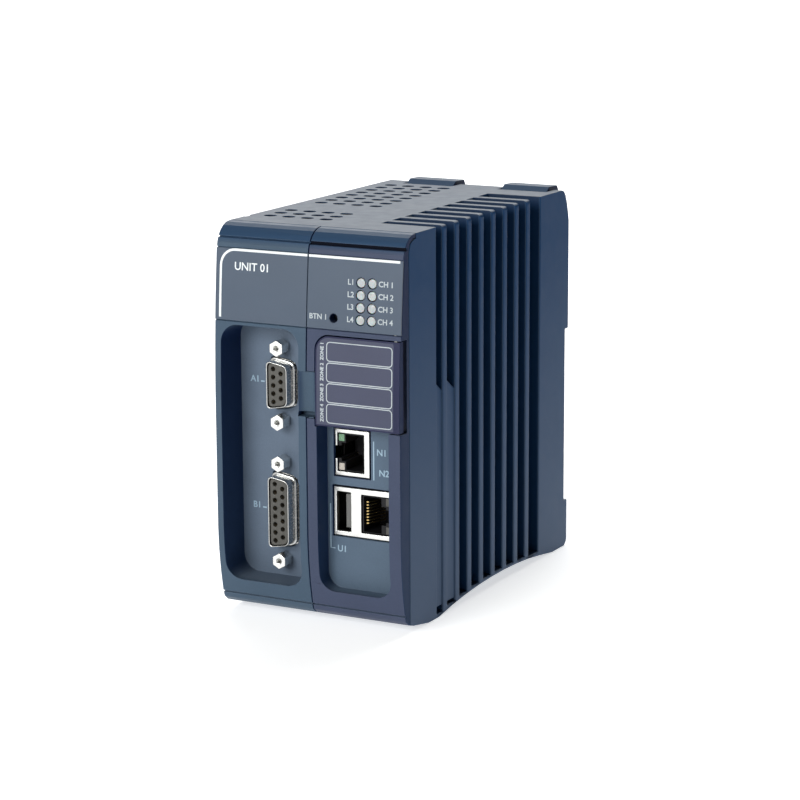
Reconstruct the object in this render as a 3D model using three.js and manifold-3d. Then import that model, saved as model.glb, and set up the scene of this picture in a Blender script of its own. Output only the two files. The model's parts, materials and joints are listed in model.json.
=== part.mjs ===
// Two-slot programmable controller CPU module: a cast housing whose right side is a finned
// heat sink, a pair of moulded front bezels, a hinged label door, and the boards inside.
// Millimetres, +Z up, the front faces -Y, origin under the centre of the bounding box.
import * as THREE from 'three';
import { mergeVertices } from 'three/addons/utils/BufferGeometryUtils.js';
import Module from 'manifold-3d';

const wasm = await Module();
wasm.setup();

// ---- driving dimensions -------------------------------------------------------------------
const WIDTH = 69;
const DEPTH = 130.4;
const HEIGHT = 131.3;
const LEFT = -WIDTH / 2;
const RIGHT = WIDTH / 2;
const FRONT = -DEPTH / 2;
const GAP = 0.3;

const FRONT_FLAT_BOTTOM = 31.6;
const FRONT_FLAT_TOP = 68.6;
const FRONT_UPPER_RADIUS = 560;
const FRONT_LOWER_RADIUS = 120;
const TOP_FRONT_RADIUS = 8.4;
const TOP_FRONT_DEPTH = 11.1;
const FRONT_BAND_DEPTH = 6.2;
const TOP_LIP_THICKNESS = 1.5;
const UPPER_SEAM_Z = 126.9;
const LOWER_SEAM_Z = 6.6;

const FOOT_FRONT = [20, 28];
const FOOT_REAR = [118, 128.6];
const ARCH_HEIGHT = 3.5;
const REAR_STEP_Z = [17.2, 80.8];
const REAR_STEP = 2.65;

const WALL = 2.3;
const FIN_PITCH = 9.18;
const FIN_THICKNESS = 3.34;
const FIRST_FIN_REAR = 33.49;
const FIN_COUNT = 8;
const GROOVE_FLOOR = 1.3;
const GROOVE_FILL = { inset: 0.7, topZ: 80.8, slope: 0.7, ranges: [[25.3, 30.65], [33.0, 39.8]] };
const FLANGE_REAR = 25.8;
const REAR_BLOCK_FRONT = 105.8;
const FIN_ROOT_X = 14.2;
const SINK_BASE_X = 12.2;

const VENT_LENGTH = 4.6;
const VENT_WIDTH = 3.6;
const VENT_DEPTH = 4.0;
const VENT_COLUMNS = [-27.3, -20.2, -13.1, -6.0];
const VENT_FRONT_ROWS = [25.4, 32.4, 39.4];
const VENT_REAR_START = 60;
const VENT_REAR_PITCH = 7.3;
const VENT_REAR_ROWS = 8;

const LEFT_RECESS = { x: [-32.2, -3.0], z: [11.8, 98.4], radius: 6, floor: 13 };
const RIGHT_RECESS = { x: [3.8, 30.1], z: [12.1, 97.8], radius: 5.5, floor: 7 };
const BEZEL_WALL = 0.8;
const FLOOR_THICKNESS = 1.5;
const BEZEL_SPLIT_GAP = 0.15;
const NOTCH = { x: [-2.9, 3.15], z: [70.4, 85.2], radius: 4.6, centreX: 0.3, centreDepth: -3.0 };
const NOTCH_TAB = { frontX: 2.85, backX: 2.4, shoulder: 3.1, slotHeight: 1.5, slotDepth: 3.4 };

const DOOR = { x: [3.4, 34.1], z: [67.9, 97.5], thickness: 2.0, radius: 5 };
const HINGE = { x: 32.0, depth: 2.4, pinRadius: 0.75, clearRadius: 3.4, knuckleRadius: 1.75 };

const SERIAL_X = -15.8;
const SERIAL_FACE = 8;
const SERIAL_WIDTH = 7.9;
const SERIAL_PORTS = [
  { name: 'serial_port_9', z: 77.6, length: 16.4, screwSpacing: 24.99, flange: 30.8, wide: 5 },
  { name: 'serial_port_15', z: 34.4, length: 24.7, screwSpacing: 33.32, flange: 39.2, wide: 8 },
];
const CONTACT_PITCH = 2.77;
const CONTACT_ROW_SPACING = 2.84;
const JACKSCREW = { flats: 4.75, length: 4.7, boreRadius: 1.0, shankRadius: 1.25 };
const CONTACT_RADIUS = 0.85;

const UPPER_JACK = { x: [6.7, 19.4], z: [50.3, 65.8], opening: { x: [7.5, 17.4], z: [51.6, 64.5] } };
const COMBO_JACK = {
  x: [6.1, 27.8],
  z: [30.0, 46.4],
  usb: { x: [7.1, 12.4], z: [31.5, 44.8] },
  opening: { x: [16.2, 27.0], z: [31.6, 44.5] },
};
const JACK_FACE = 7.0;
const JACK_REAR = 22.6;

const FILM_Z = [99.8, 123.4];
const FILM_THICKNESS = 0.3;
const LED = { x: [19.6, 23.7], topZ: 115.5, pitch: 4.0, rows: 4, radius: 1.5 };
const RESET = { x: 9.9, z: 103.5, holeRadius: 1.55, plungerRadius: 1.2 };

const HOOKS = { left: [-25.4, -6.6], right: [12.6, 30.4] };
const HOOK_PIVOT = { depth: 121.5, z: 127.6, radius: 0.9 };

// ---- solids -------------------------------------------------------------------------------
const at = (depth) => FRONT + depth;

function toSolid(geometry) {
  const plain = geometry.clone();
  plain.deleteAttribute('normal');
  plain.deleteAttribute('uv');
  const merged = mergeVertices(plain, 1e-4);
  const corners = merged.index.array;
  const kept = [];
  for (let i = 0; i < corners.length; i += 3) {
    const [a, b, c] = [corners[i], corners[i + 1], corners[i + 2]];
    if (a !== b && b !== c && c !== a) kept.push(a, b, c);
  }
  const vertProperties = new Float32Array(merged.attributes.position.array);
  const mesh = new wasm.Mesh({ numProp: 3, vertProperties, triVerts: new Uint32Array(kept) });
  return new wasm.Manifold(mesh);
}

function toGeometry(solid) {
  const { vertProperties, triVerts } = solid.getMesh();
  const geometry = new THREE.BufferGeometry();
  geometry.setAttribute('position', new THREE.BufferAttribute(vertProperties, 3));
  geometry.setIndex(new THREE.BufferAttribute(triVerts, 1));
  geometry.computeVertexNormals();
  return geometry;
}

const joined = (...solids) => solids.reduce((total, solid) => total.add(solid));
const cut = (base, ...tools) => tools.reduce((rest, tool) => rest.subtract(tool), base);

// A box between two X values, two depths behind the front plane and two heights.
function block([x0, x1], [d0, d1], [z0, z1]) {
  const geometry = new THREE.BoxGeometry(x1 - x0, d1 - d0, z1 - z0);
  geometry.translate((x0 + x1) / 2, at((d0 + d1) / 2), (z0 + z1) / 2);
  return toSolid(geometry);
}

// A round bar whose axis runs along X, Y or Z between two values on that axis.
// The centre is given as [depth, z], [x, z] or [x, depth]; a Y bar's ends are depths.
function bar(axis, radius, [u, v], [from, to], sides = 16) {
  const geometry = new THREE.CylinderGeometry(radius, radius, to - from, sides);
  const middle = (from + to) / 2;
  if (axis === 'x') {
    geometry.rotateZ(Math.PI / 2).translate(middle, at(u), v);
  } else if (axis === 'y') {
    geometry.translate(u, at(middle), v);
  } else {
    geometry.rotateX(Math.PI / 2).translate(u, at(v), middle);
  }
  return toSolid(geometry);
}

// Extrudes an outline of [depth, z] points along X.
function prismX(points, [x0, x1]) {
  const shape = new THREE.Shape(points.map(([depth, z]) => new THREE.Vector2(at(depth), z)));
  const geometry = new THREE.ExtrudeGeometry(shape, { depth: x1 - x0, bevelEnabled: false });
  const turn = new THREE.Matrix4().set(0, 0, 1, x0, 1, 0, 0, 0, 0, 1, 0, 0, 0, 0, 0, 1);
  return toSolid(geometry.applyMatrix4(turn));
}

// Extrudes a shape drawn in X and Z along Y, between two depths.
function prismY(shape, [d0, d1], curveSegments = 4) {
  const options = { depth: d1 - d0, bevelEnabled: false, curveSegments };
  const geometry = new THREE.ExtrudeGeometry(shape, options);
  const turn = new THREE.Matrix4().set(1, 0, 0, 0, 0, 0, -1, at(d1), 0, 1, 0, 0, 0, 0, 0, 1);
  return toSolid(geometry.applyMatrix4(turn));
}

function roundedRectangle([x0, x1], [z0, z1], radii) {
  const [bottomLeft, bottomRight, topRight, topLeft] = radii;
  const shape = new THREE.Shape();
  shape.moveTo(x0 + bottomLeft, z0);
  shape.lineTo(x1 - bottomRight, z0);
  if (bottomRight) shape.absarc(x1 - bottomRight, z0 + bottomRight, bottomRight, -Math.PI / 2, 0);
  shape.lineTo(x1, z1 - topRight);
  if (topRight) shape.absarc(x1 - topRight, z1 - topRight, topRight, 0, Math.PI / 2);
  shape.lineTo(x0 + topLeft, z1);
  if (topLeft) shape.absarc(x0 + topLeft, z1 - topLeft, topLeft, Math.PI / 2, Math.PI);
  shape.lineTo(x0, z0 + bottomLeft);
  if (bottomLeft) shape.absarc(x0 + bottomLeft, z0 + bottomLeft, bottomLeft, Math.PI, Math.PI * 1.5);
  return shape;
}

// ---- the side outline ---------------------------------------------------------------------
const arcDrop = (run, radius) => radius - Math.sqrt(radius * radius - run * run);

function frontDepth(z) {
  if (z > FRONT_FLAT_TOP) return arcDrop(z - FRONT_FLAT_TOP, FRONT_UPPER_RADIUS);
  if (z < FRONT_FLAT_BOTTOM) return arcDrop(FRONT_FLAT_BOTTOM - z, FRONT_LOWER_RADIUS);
  return 0;
}

// Points down the front surface, set back by an inset, from one height to a lower one.
function frontCurve(zTop, zBottom, inset = 0, step = 8) {
  const count = Math.max(2, Math.ceil((zTop - zBottom) / step));
  const points = [];
  for (let i = 0; i <= count; i += 1) {
    const z = zTop + ((zBottom - zTop) * i) / count;
    points.push([frontDepth(z) + inset, z]);
  }
  return points;
}

// Points over the rounded top front edge, from the flat top to the front surface.
function topFrontCurve(inset = 0) {
  const steps = 6;
  const radius = TOP_FRONT_RADIUS - inset;
  const points = [];
  for (let i = 0; i < steps; i += 1) {
    const angle = (Math.PI / 2) * (i / steps);
    const depth = TOP_FRONT_DEPTH - radius * Math.sin(angle);
    points.push([depth, HEIGHT - TOP_FRONT_RADIUS + radius * Math.cos(angle)]);
  }
  return points;
}

// Height of the arched underside at a depth.
function archHeight(depth) {
  const [start, end] = [FOOT_FRONT[1], FOOT_REAR[0]];
  const share = Math.min(1, Math.max(0, (depth - start) / (end - start)));
  return 4 * ARCH_HEIGHT * share * (1 - share);
}

function archCurve() {
  const [start, end] = [FOOT_FRONT[1], FOOT_REAR[0]];
  const steps = 9;
  const points = [];
  for (let i = 0; i <= steps; i += 1) {
    const depth = start + ((end - start) * i) / steps;
    points.push([depth, archHeight(depth)]);
  }
  return points;
}

function sideOutline() {
  const under = [[3.4, 4.6], [5.4, 3.0], [9, 1.9], [FOOT_FRONT[0], 0]];
  const rear = [
    [FOOT_REAR[1], 0],
    [DEPTH, 1.8],
    [DEPTH, REAR_STEP_Z[0]],
    [DEPTH - REAR_STEP, REAR_STEP_Z[0]],
    [DEPTH - REAR_STEP, REAR_STEP_Z[1]],
    [DEPTH, REAR_STEP_Z[1]],
    [DEPTH, 119.8],
    [129.7, 123.0],
    [128.7, 126.4],
    [127.5, 129.2],
    [126.1, 130.8],
    [124.4, HEIGHT],
  ];
  const front = frontCurve(HEIGHT - TOP_FRONT_RADIUS, LOWER_SEAM_Z);
  return [...under, ...archCurve(), ...rear, ...topFrontCurve(), ...front];
}

const envelope = (x0, x1) => prismX(sideOutline(), [x0, x1]);

// The zone of the front bezels: a band behind the front, with a lip over the top edge.
function bezelZone(clearance, x) {
  const back = FRONT_BAND_DEPTH + clearance;
  const underLip = HEIGHT - TOP_LIP_THICKNESS - clearance;
  const outline = [
    [-2, -2],
    [back, -2],
    [back, underLip - 3.6],
    [back + 1.1, underLip - 1.2],
    [back + 3.6, underLip],
    [TOP_FRONT_DEPTH + clearance, underLip],
    [TOP_FRONT_DEPTH + clearance, HEIGHT + 2],
    [-2, HEIGHT + 2],
  ];
  return prismX(outline, x);
}

// ---- housing with its heat sink -----------------------------------------------------------
function finGrooves() {
  const groove = (from, to) => {
    const floor = archHeight((from + to) / 2) + GROOVE_FLOOR;
    return block([FIN_ROOT_X, RIGHT + 1], [from, to], [floor, HEIGHT + 1]);
  };
  const grooves = [groove(FLANGE_REAR, FIRST_FIN_REAR - FIN_THICKNESS)];
  for (let i = 0; i < FIN_COUNT; i += 1) {
    const from = FIRST_FIN_REAR + FIN_PITCH * i;
    const isLast = i === FIN_COUNT - 1;
    const to = isLast ? REAR_BLOCK_FRONT : from + FIN_PITCH - FIN_THICKNESS;
    grooves.push(groove(from, to));
  }
  return grooves;
}

function ventSlots() {
  const rows = [...VENT_FRONT_ROWS];
  for (let i = 0; i < VENT_REAR_ROWS; i += 1) rows.push(VENT_REAR_START + VENT_REAR_PITCH * i);
  const slots = [];
  for (const row of rows) {
    for (const column of VENT_COLUMNS) {
      const half = VENT_LENGTH / 2;
      const radius = VENT_WIDTH / 2;
      const [y0, y1] = [at(row) - radius, at(row) + radius];
      const rounds = Array(4).fill(radius - 0.03);
      const pill = roundedRectangle([column - half, column + half], [y0, y1], rounds);
      const options = { depth: VENT_DEPTH + 1, bevelEnabled: false, curveSegments: 3 };
      const geometry = new THREE.ExtrudeGeometry(pill, options);
      slots.push(toSolid(geometry.translate(0, 0, HEIGHT - VENT_DEPTH)));
    }
  }
  return slots;
}

const COVER = { depth: [16, 122.3], z: [8.7, 119.3], thickness: 2.0 };
const COVER_SCREWS = [[21.5, 14.2], [21.5, 113.8], [116.8, 14.2], [116.8, 113.8]];

function housing() {
  const wide = [LEFT - 1, RIGHT + 1];
  const shell = cut(envelope(LEFT, RIGHT), bezelZone(GAP, wide), ...finGrooves());
  const floorZ = 6.2;
  const ceilingZ = HEIGHT - WALL;
  const innerLeft = -30.2;
  const frontRoom = block([LEFT + 1.2, RIGHT - WALL], [5, 16], [floorZ, ceilingZ]);
  const portRoom = block([innerLeft, RIGHT - WALL], [15, FLANGE_REAR - WALL], [floorZ, ceilingZ]);
  const mainRoom = block([innerLeft, SINK_BASE_X], [15, 116], [floorZ, ceilingZ]);
  const rearRoom = block([innerLeft, RIGHT - WALL], [108.4, 125.3], [floorZ, 118.5]);
  const coverSeat = block([LEFT - 1, LEFT + COVER.thickness + GAP], COVER.depth, COVER.z);
  const coverMouth = block([LEFT - 1, innerLeft + 1], [27, 111], [20, 108]);
  const connectorMouth = block([-2.9, 9.9], [120, 132], [23.5, 68.5]);
  const edgeNotch = block([LEFT - 1, LEFT + 0.8], [20, 24], [HEIGHT - 1.3, HEIGHT + 1]);
  const hollow = cut(
    shell, frontRoom, portRoom, mainRoom, rearRoom, coverSeat, coverMouth, connectorMouth, edgeNotch,
  );
  const screwHoles = COVER_SCREWS.map((spot) => bar('x', 1.5, spot, [LEFT, innerLeft + 1], 8));
  const intakes = [45, 62, 79, 96].map((depth) => block([-27, -2], [depth, depth + 6], [-1, floorZ + 1]));
  const pockets = Object.values(HOOKS).map(([x0, x1]) =>
    block([x0 - 0.5, x1 + 0.5], [117.8, 132], [121.6, 140]));
  const pinHoles = Object.values(HOOKS).map(([x0, x1]) =>
    bar('x', HOOK_PIVOT.radius + GAP, [HOOK_PIVOT.depth, HOOK_PIVOT.z], [x0 - 2.6, x1 + 2.6], 12));
  const open = cut(hollow, ...ventSlots(), ...screwHoles, ...intakes, ...pockets, ...pinHoles);
  return joined(open, ...shallowGrooveFills());
}

// The two front grooves are filled to near the outside below a step, with tops that slope
// down towards the rear.
function shallowGrooveFills() {
  const { inset, topZ, slope, ranges } = GROOVE_FILL;
  const bottom = ARCH_HEIGHT;
  return ranges.map(([d0, d1]) => {
    const outline = [[d0, bottom], [d1, bottom], [d1, topZ - (d1 - d0) * slope], [d0, topZ]];
    return prismX(outline, [FIN_ROOT_X - 1, RIGHT - inset]);
  });
}

function leftCover() {
  const [d0, d1] = COVER.depth;
  const [z0, z1] = COVER.z;
  const plate = block([LEFT, LEFT + COVER.thickness], [d0 + GAP, d1 - GAP], [z0 + GAP, z1 - GAP]);
  const heads = COVER_SCREWS.map((spot) => bar('x', 2.7, spot, [LEFT - 1, LEFT + 1.1], 16));
  const holes = COVER_SCREWS.map((spot) => bar('x', 1.5, spot, [LEFT - 1, LEFT + 3], 8));
  return cut(plate, ...heads, ...holes);
}

function coverScrew(spot) {
  const head = bar('x', 2.35, spot, [LEFT + 0.05, LEFT + 0.8], 16);
  const shank = bar('x', 1.15, spot, [LEFT + 0.5, LEFT + 6.5], 8);
  const slot = block([LEFT - 1, LEFT + 0.4], [spot[0] - 1.6, spot[0] + 1.6], [spot[1] - 0.3, spot[1] + 0.3]);
  return cut(joined(head, shank), slot);
}

// ---- bezels -------------------------------------------------------------------------------
function seamGroove(z, width, depth, x) {
  return prismX(
    [
      [-2, z - width / 2],
      [frontDepth(z) + depth, z - width / 2],
      [frontDepth(z) + depth, z + width / 2],
      [-2, z + width / 2],
    ],
    x,
  );
}

function filmPocket(x) {
  const [z0, z1] = FILM_Z;
  const back = frontCurve(z1 + GAP, z0 - GAP, FILM_THICKNESS + GAP, 4).reverse();
  return prismX([[-2, z0 - GAP], ...back, [-2, z1 + GAP]], x);
}

function faceHollow(x) {
  return block(x, [5.0, 9], [101.2, 120.5]);
}

function well(recess, depths) {
  const grow = BEZEL_WALL;
  const [x0, x1] = recess.x;
  const [z0, z1] = recess.z;
  const shape = roundedRectangle(
    [x0 - grow, x1 + grow], [z0 - grow, z1 + grow], Array(4).fill(recess.radius + grow),
  );
  return prismY(shape, depths, 3);
}

const recessHollow = (recess) =>
  prismY(roundedRectangle(recess.x, recess.z, Array(4).fill(recess.radius)), [-2, recess.floor], 5);

// A shallow scoop for a fingertip beside the door, with a deeper slot along its foot.
function fingerNotch() {
  const [z0, z1] = NOTCH.z;
  const slotTop = z0 + NOTCH_TAB.slotHeight;
  const scoop = bar('z', NOTCH.radius, [NOTCH.centreX, NOTCH.centreDepth], [z0 + 1, z1], 48);
  return joined(scoop, block(NOTCH.x, [-2, NOTCH_TAB.slotDepth], [z0, slotTop]));
}

// The left bezel reaches across the seam here, so that the scoop has no joint in its floor.
function notchTab(clearance) {
  const { frontX, backX, shoulder } = NOTCH_TAB;
  const z = [NOTCH.z[0] - 0.1 - clearance, NOTCH.z[1] + clearance];
  const from = clearance ? -1 : -0.6;
  return joined(
    block([from, frontX + clearance], [clearance ? -2 : 0, shoulder + clearance], z),
    block([from, backX + clearance], [shoulder - 1, FRONT_BAND_DEPTH + clearance], z),
  );
}

// The D outline of a serial port, its wide side towards -X, grown by a margin.
function dOutline(port, margin) {
  const [halfLong, halfWide] = [port.length / 2 + margin, SERIAL_WIDTH / 2 + margin];
  const taper = 2 * halfWide * Math.tan(THREE.MathUtils.degToRad(10));
  const corner = 1.9 + margin * 0.6;
  const corners = [
    [-halfWide, -halfLong],
    [halfWide, -halfLong + taper],
    [halfWide, halfLong - taper],
    [-halfWide, halfLong],
  ].map(([x, z]) => new THREE.Vector2(SERIAL_X + x, port.z + z));
  const shape = new THREE.Shape();
  corners.forEach((point, i) => {
    const before = corners[(i + 3) % 4].clone().sub(point).setLength(corner).add(point);
    const after = corners[(i + 1) % 4].clone().sub(point).setLength(corner).add(point);
    if (i === 0) shape.moveTo(before.x, before.y);
    else shape.lineTo(before.x, before.y);
    shape.quadraticCurveTo(point.x, point.y, after.x, after.y);
  });
  shape.closePath();
  return shape;
}

const screwSpots = (port) =>
  [-0.5, 0.5].map((side) => [SERIAL_X, port.z + side * port.screwSpacing]);

function leftBezel() {
  const x = [LEFT, -BEZEL_SPLIT_GAP];
  const zone = bezelZone(0, [LEFT - 1, RIGHT + 1]);
  const face = envelope(...x).intersect(zone);
  const floorBack = LEFT_RECESS.floor + FLOOR_THICKNESS;
  const body = joined(face, well(LEFT_RECESS, [FRONT_BAND_DEPTH - 1, floorBack]), notchTab(0));
  const cuts = [recessHollow(LEFT_RECESS), fingerNotch(), filmPocket([LEFT - 1, 1])];
  cuts.push(faceHollow([LEFT + 2, -2]));
  cuts.push(seamGroove(UPPER_SEAM_Z, 0.5, 1.7, [LEFT - 1, 1]));
  cuts.push(seamGroove(LOWER_SEAM_Z, 0.5, 0.9, [LEFT - 1, 1]));
  for (const port of SERIAL_PORTS) {
    cuts.push(prismY(dOutline(port, 1.2), [10, floorBack + 1], 2));
    for (const spot of screwSpots(port)) cuts.push(bar('y', 1.6, spot, [10, floorBack + 1], 10));
  }
  return cut(body, ...cuts);
}

const SWITCHES = {
  runStop: { x: 22.5, z: [84.0, 90.5], width: 3.2 },
  card: { x: 12.5, z: [84.0, 90.5], width: 3.2 },
  start: { x: 22.5, z: 75.5, radius: 2.0 },
};

function rightBezel() {
  const x = [BEZEL_SPLIT_GAP, RIGHT];
  const zone = bezelZone(0, [LEFT - 1, RIGHT + 1]);
  const face = envelope(...x).intersect(zone);
  const floorBack = RIGHT_RECESS.floor + FLOOR_THICKNESS;
  const body = joined(face, well(RIGHT_RECESS, [FRONT_BAND_DEPTH - 1, floorBack]));
  const cuts = [recessHollow(RIGHT_RECESS), notchTab(GAP), filmPocket([-1, RIGHT + 1])];
  cuts.push(faceHollow([4.5, RIGHT - 2]));
  cuts.push(seamGroove(UPPER_SEAM_Z, 1.1, 2.3, [-1, RIGHT + 1]));
  cuts.push(seamGroove(LOWER_SEAM_Z, 0.5, 0.9, [-1, RIGHT + 1]));
  cuts.push(...doorRebate());
  const [jackX, jackZ] = [UPPER_JACK.x, UPPER_JACK.z];
  const around = ([low, high]) => [low - 0.5, high + 0.5];
  const through = [5, floorBack + 1];
  cuts.push(block(around(jackX), through, around(jackZ)));
  cuts.push(block(around(COMBO_JACK.x), through, around(COMBO_JACK.z)));
  for (const slot of [SWITCHES.runStop, SWITCHES.card]) {
    const half = slot.width / 2;
    cuts.push(block([slot.x - half, slot.x + half], through, slot.z));
  }
  const { start } = SWITCHES;
  cuts.push(bar('y', start.radius + 0.35, [start.x, start.z], through, 16));
  cuts.push(bar('y', RESET.holeRadius, [RESET.x, RESET.z], [-1, 9], 16));
  cuts.push(...ledSpots().map((spot) => bar('y', LED.radius + GAP, spot, [-1, 9], 12)));
  return cut(body, ...cuts);
}

// The space that the door closes into, with a round clearance about its hinge.
function doorRebate() {
  const zRange = [DOOR.z[0] - 0.4, DOOR.z[1] + 0.4];
  const radii = [0, 0, 0, DOOR.radius];
  const mouth = prismY(roundedRectangle([DOOR.x[0] - GAP, RIGHT + 1], zRange, radii), [-2, 2.2]);
  const step = prismY(roundedRectangle([DOOR.x[0] - GAP, HINGE.x], zRange, radii), [-2, 3.4]);
  const swing = bar('z', HINGE.clearRadius, [HINGE.x, HINGE.depth], zRange, 24);
  const pinHole = bar(
    'z', HINGE.pinRadius + GAP, [HINGE.x, HINGE.depth], [DOOR.z[0] - 3.2, DOOR.z[1] + 3.2], 12,
  );
  return [mouth, step, swing, pinHole];
}

function labelDoor() {
  const [z0, z1] = DOOR.z;
  const outer = frontCurve(z1, z0, 0, 6);
  const inner = frontCurve(z1, z0, DOOR.thickness, 6).reverse();
  const sheet = prismX([...outer, ...inner], [DOOR.x[0], HINGE.x]);
  const lip = prismX([...outer, [3.0, z0], [3.0, z1]], [HINGE.x - 0.9, DOOR.x[1]]);
  const mask = prismY(roundedRectangle(DOOR.x, DOOR.z, [0, 0, 0, DOOR.radius]), [-2, 8]);
  const knuckle = bar('z', HINGE.knuckleRadius, [HINGE.x, HINGE.depth], DOOR.z, 20);
  const bore = bar('z', HINGE.pinRadius + 0.25, [HINGE.x, HINGE.depth], [z0 - 1, z1 + 1], 16);
  return cut(joined(sheet.intersect(mask), lip, knuckle), bore);
}

function doorHingePin() {
  const reach = [DOOR.z[0] - 2.8, DOOR.z[1] + 2.8];
  return bar('z', HINGE.pinRadius, [HINGE.x, HINGE.depth], reach, 12);
}

// ---- printed films, indicators and the reset switch ---------------------------------------
function film(x) {
  const [z0, z1] = FILM_Z;
  const outer = frontCurve(z1, z0, 0, 4);
  const inner = frontCurve(z1, z0, FILM_THICKNESS, 4).reverse();
  return prismX([...outer, ...inner], x);
}

function ledSpots() {
  const spots = [];
  for (const x of LED.x) {
    for (let row = 0; row < LED.rows; row += 1) spots.push([x, LED.topZ - LED.pitch * row]);
  }
  return spots;
}

function rightFilm() {
  const pipes = ledSpots().map((spot) => bar('y', LED.radius + GAP, spot, [-1, 9], 12));
  const resetHole = bar('y', RESET.holeRadius, [RESET.x, RESET.z], [-1, 9], 16);
  return cut(film([BEZEL_SPLIT_GAP, RIGHT]), resetHole, ...pipes);
}

function lightPipes() {
  const plate = block([17.2, 26.1], [5.6, 6.8], [101.6, 117.4]);
  const rods = ledSpots().map((spot) => bar('y', LED.radius, spot, [frontDepth(spot[1]), 6], 16));
  return joined(plate, ...rods);
}

function resetButton() {
  const rod = bar('y', RESET.plungerRadius, [RESET.x, RESET.z], [4.4, 7.2], 16);
  const collar = bar('y', 1.9, [RESET.x, RESET.z], [6.4, 7.8], 16);
  return joined(rod, collar);
}

// ---- serial ports -------------------------------------------------------------------------
function serialShell(port) {
  const tube = prismY(dOutline(port, 0), [SERIAL_FACE, 15.4], 5);
  const flare = prismY(dOutline(port, 0.75), [LEFT_RECESS.floor - 0.9, LEFT_RECESS.floor], 5);
  const halfFlange = port.flange / 2;
  const flangeX = [SERIAL_X - 6.25, SERIAL_X + 6.25];
  const flangeZ = [port.z - halfFlange, port.z + halfFlange];
  const flange = prismY(roundedRectangle(flangeX, flangeZ, Array(4).fill(2)), [14.8, 15.6], 2);
  const bore = prismY(dOutline(port, -0.45), [0, 20], 5);
  const holes = screwSpots(port).map((spot) => bar('y', 1.6, spot, [12, 18], 10));
  return cut(joined(tube, flare, flange), bore, ...holes);
}

function contactSpots(port) {
  const spots = [];
  const rows = [{ side: -0.5, count: port.wide }, { side: 0.5, count: port.wide - 1 }];
  for (const { side, count } of rows) {
    for (let i = 0; i < count; i += 1) {
      const z = port.z + (i - (count - 1) / 2) * CONTACT_PITCH;
      spots.push([SERIAL_X + side * CONTACT_ROW_SPACING, z]);
    }
  }
  return spots;
}

function serialInsulator(port) {
  const core = prismY(dOutline(port, -0.75), [SERIAL_FACE + 0.4, 20.5], 2);
  const holes = contactSpots(port).map((spot) => bar('y', CONTACT_RADIUS, spot, [0, SERIAL_FACE + 5], 8));
  return cut(core, ...holes);
}

function jackscrew(spot) {
  const cornerRadius = JACKSCREW.flats / 2 / Math.cos(Math.PI / 6);
  const end = SERIAL_FACE + JACKSCREW.length;
  const head = bar('y', cornerRadius, spot, [SERIAL_FACE, end], 6);
  const shank = bar('y', JACKSCREW.shankRadius, spot, [end - 1, end + 6], 10);
  const bore = bar('y', JACKSCREW.boreRadius, spot, [SERIAL_FACE - 1, end - 0.8], 12);
  return cut(joined(head, shank), bore);
}

// ---- network and USB jacks ----------------------------------------------------------------
function upperJackShield() {
  const can = block(UPPER_JACK.x, [JACK_FACE, JACK_REAR], UPPER_JACK.z);
  const mouth = block(UPPER_JACK.opening.x, [0, JACK_REAR - 1.2], UPPER_JACK.opening.z);
  const latchGap = block([UPPER_JACK.x[0] - 1, UPPER_JACK.opening.x[0] + 1], [0, 12], [55.9, 60.1]);
  return cut(can, mouth, latchGap);
}

// A socket moulding with a stepped latch channel, drawn from its wall side to its plug side.
function socketInsert(outerX, outerZ, steps, depths) {
  const core = block(outerX, depths, outerZ);
  const rooms = steps.map(({ x, z }) => block(x, [0, depths[1] - 2.5], z));
  return cut(core, ...rooms);
}

function upperJackInsert() {
  const { x, z } = UPPER_JACK.opening;
  const inner = ([low, high]) => [low + GAP, high - GAP];
  const middle = (z[0] + z[1]) / 2;
  const steps = [
    { x: [10.5, 17.0], z: [middle - 5.9, middle + 5.9] },
    { x: [8.9, 11.0], z: [middle - 3.1, middle + 3.1] },
    { x: [7.0, 9.5], z: [middle - 2.1, middle + 2.1] },
  ];
  return socketInsert(inner(x), inner(z), steps, [JACK_FACE + 0.4, JACK_REAR - 1.6]);
}

function comboJackShield() {
  const can = block(COMBO_JACK.x, [JACK_FACE, JACK_REAR], COMBO_JACK.z);
  const usbMouth = block(COMBO_JACK.usb.x, [0, JACK_REAR - 1.2], COMBO_JACK.usb.z);
  const mouth = block(COMBO_JACK.opening.x, [0, JACK_REAR - 1.2], COMBO_JACK.opening.z);
  const latchGap = block([COMBO_JACK.opening.x[1] - 1, COMBO_JACK.x[1] + 1], [0, 12], [36.0, 40.1]);
  return cut(can, usbMouth, mouth, latchGap);
}

function lowerJackInsert() {
  const { x, z } = COMBO_JACK.opening;
  const inner = ([low, high]) => [low + GAP, high - GAP];
  const middle = (z[0] + z[1]) / 2;
  const steps = [
    { x: [17.0, 23.5], z: [middle - 5.9, middle + 5.9] },
    { x: [23.0, 25.2], z: [middle - 3.1, middle + 3.1] },
    { x: [24.8, 28.0], z: [middle - 2.1, middle + 2.1] },
  ];
  return socketInsert(inner(x), inner(z), steps, [JACK_FACE + 0.4, JACK_REAR - 1.6]);
}

function usbInsert() {
  const { x, z } = COMBO_JACK.usb;
  const base = block([x[0] + GAP, x[1] - GAP], [18, JACK_REAR - 1.6], [z[0] + GAP, z[1] - GAP]);
  const tongue = block([9.9, 11.7], [8.4, 19], [z[0] + 1.0, z[1] - 1.0]);
  return joined(base, tongue);
}

// ---- operating switches behind the door ---------------------------------------------------
const LEVER = { width: 2.4, height: 2.6, tip: 4.2, foot: 9.0 };

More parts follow.
